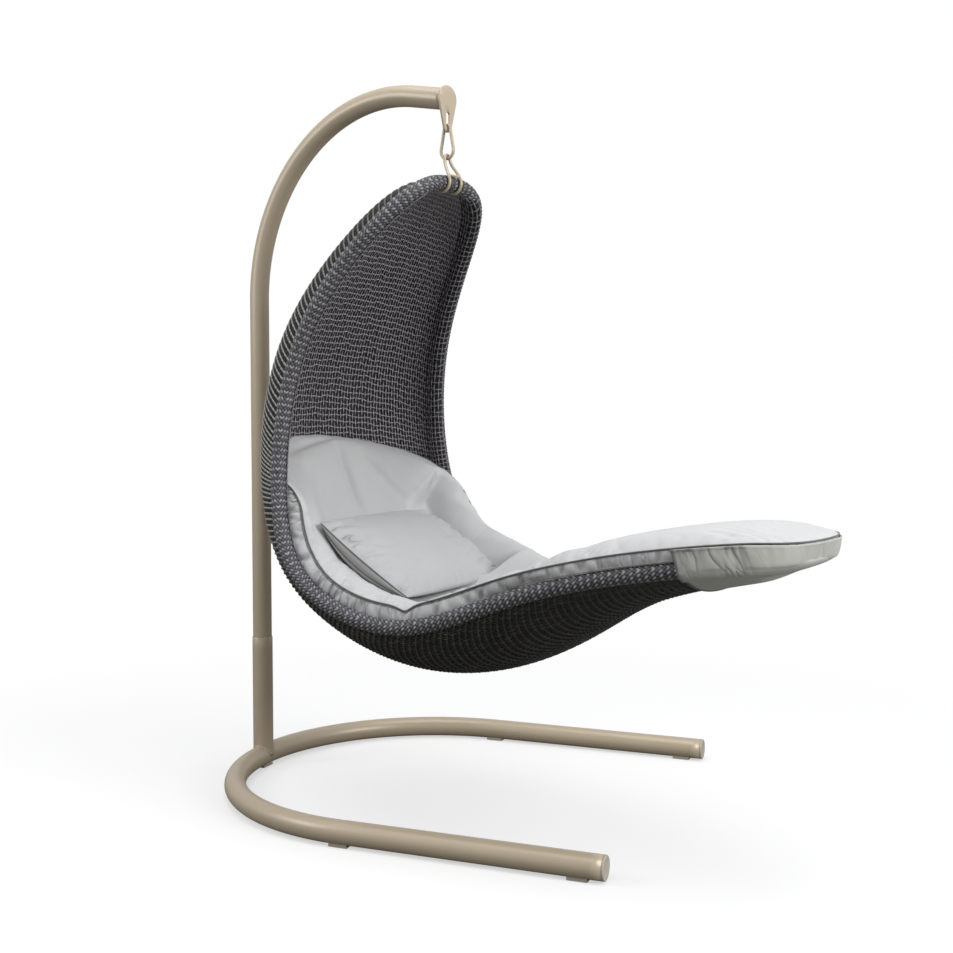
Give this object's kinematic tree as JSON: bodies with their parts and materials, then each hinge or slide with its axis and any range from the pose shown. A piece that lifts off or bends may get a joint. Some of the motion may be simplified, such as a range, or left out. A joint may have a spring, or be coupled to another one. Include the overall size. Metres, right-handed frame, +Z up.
{
  "type": "hanging chair",
  "caption": "Hanging lounge chair with a leaf-shaped woven shell, pale pad, foot pocket and pillow, hung by a link and hanger from a bent tube arm on a U-shaped floor base",
  "frame": {"origin": "on the floor under the middle of the post, on the rear glide's underside", "axes": "+X from the post towards the open ends of the base's legs, +Y to the sitter's left, +Z up"},
  "size_m": [1.7487, 1.2948, 1.9445],
  "materials": {
    "champagne_paint": "satin champagne paint",
    "glide_plastic": "moulded, matt",
    "frame_aluminium": "bare, hidden inside the weave",
    "dark_weave": "woven synthetic strands",
    "rim_weave": "braided synthetic strands",
    "pale_fabric": "plain woven cover"
  },
  "bodies": {
    "stand": {"base_cap_left": "glide_plastic", "base_cap_right": "glide_plastic", "base_tube": "champagne_paint", "glide_front_left": "glide_plastic", "glide_front_right": "glide_plastic", "glide_left": "glide_plastic", "glide_rear": "glide_plastic", "glide_right": "glide_plastic", "post_socket": "champagne_paint", "socket_stop": "champagne_paint"},
    "arm": {"arm_tube": "champagne_paint", "arm_end_plate": "champagne_paint"},
    "link": {"chain_link": "champagne_paint"},
    "hanger": {"hanger_rod": "champagne_paint", "hanger_crossbar": "champagne_paint"},
    "chair": {"foot_pocket": "pale_fabric", "frame_rib_left_1": "frame_aluminium", "frame_rib_left_2": "frame_aluminium", "frame_rib_left_3": "frame_aluminium", "frame_rib_left_4": "frame_aluminium", "frame_rib_right_1": "frame_aluminium", "frame_rib_right_2": "frame_aluminium", "frame_rib_right_3": "frame_aluminium", "frame_rib_right_4": "frame_aluminium", "frame_rim_bar": "frame_aluminium", "frame_spine": "frame_aluminium", "lumbar_pillow": "pale_fabric", "rim_wrap": "rim_weave", "seat_pad": "pale_fabric", "woven_skin_inner": "dark_weave", "woven_skin_outer": "dark_weave"}
  },
  "joints": [
    {"name": "arm_turn", "type": "hinge", "parent": "stand", "child": "arm", "pos_m": [0, 0, 0.395], "axis": [0, 0, 1], "range_deg": [-12, 48]},
    {"name": "link_sway", "type": "hinge", "parent": "arm", "child": "link", "pos_m": [0.7027, -0.2283, 1.8137], "axis": [0.9511, -0.309, 0], "range_deg": [-8, 8]},
    {"name": "hanger_turn", "type": "hinge", "parent": "link", "child": "hanger", "pos_m": [0.7027, -0.2283, 1.7371], "axis": [0, 0, 1], "range_deg": [-20, 20]},
    {"name": "chair_swing", "type": "hinge", "parent": "hanger", "child": "chair", "pos_m": [0.7065, -0.2296, 1.6641], "axis": [-0.309, -0.9511, 0], "range_deg": [-10, 15]}
  ]
}
